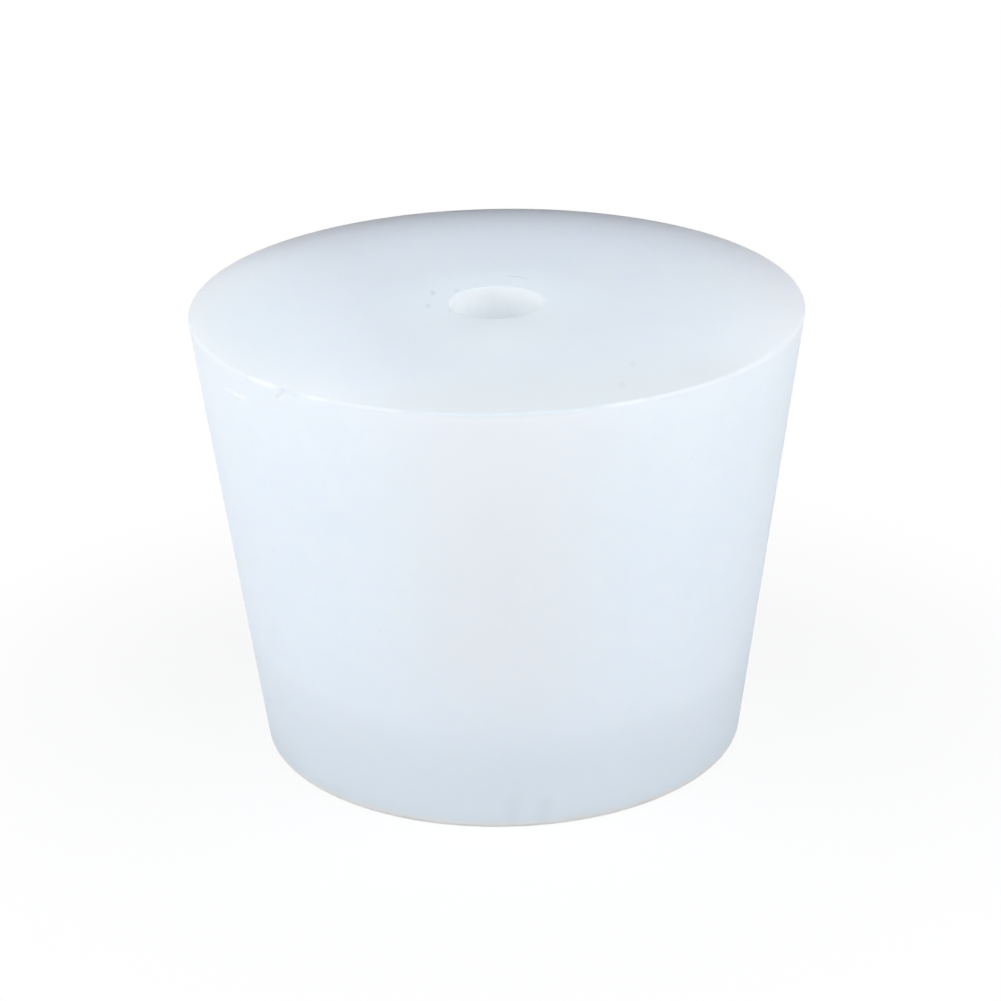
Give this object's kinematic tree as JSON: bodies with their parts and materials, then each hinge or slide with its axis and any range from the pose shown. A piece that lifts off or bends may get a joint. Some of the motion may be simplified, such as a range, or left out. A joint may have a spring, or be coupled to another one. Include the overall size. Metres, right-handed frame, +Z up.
{
  "type": "one-hole tapered silicone stopper",
  "caption": "Tapered round stopper moulded in translucent white silicone rubber, with a straight bore through its axis for a tube; plugs a vessel neck.",
  "frame": {"origin": "centre of the small end's face, on the bore's axis, where the stopper stands", "axes": "+Z up the bore's axis, from the small end to the large end; X and Y are any pair across it, since the stopper is round"},
  "size_m": [0.04, 0.04, 0.03],
  "materials": {
    "silicone": "translucent milky white with a faint blue cast, satin moulded surface"
  },
  "bodies": {
    "root": {"stopper": "silicone"}
  },
  "joints": []
}
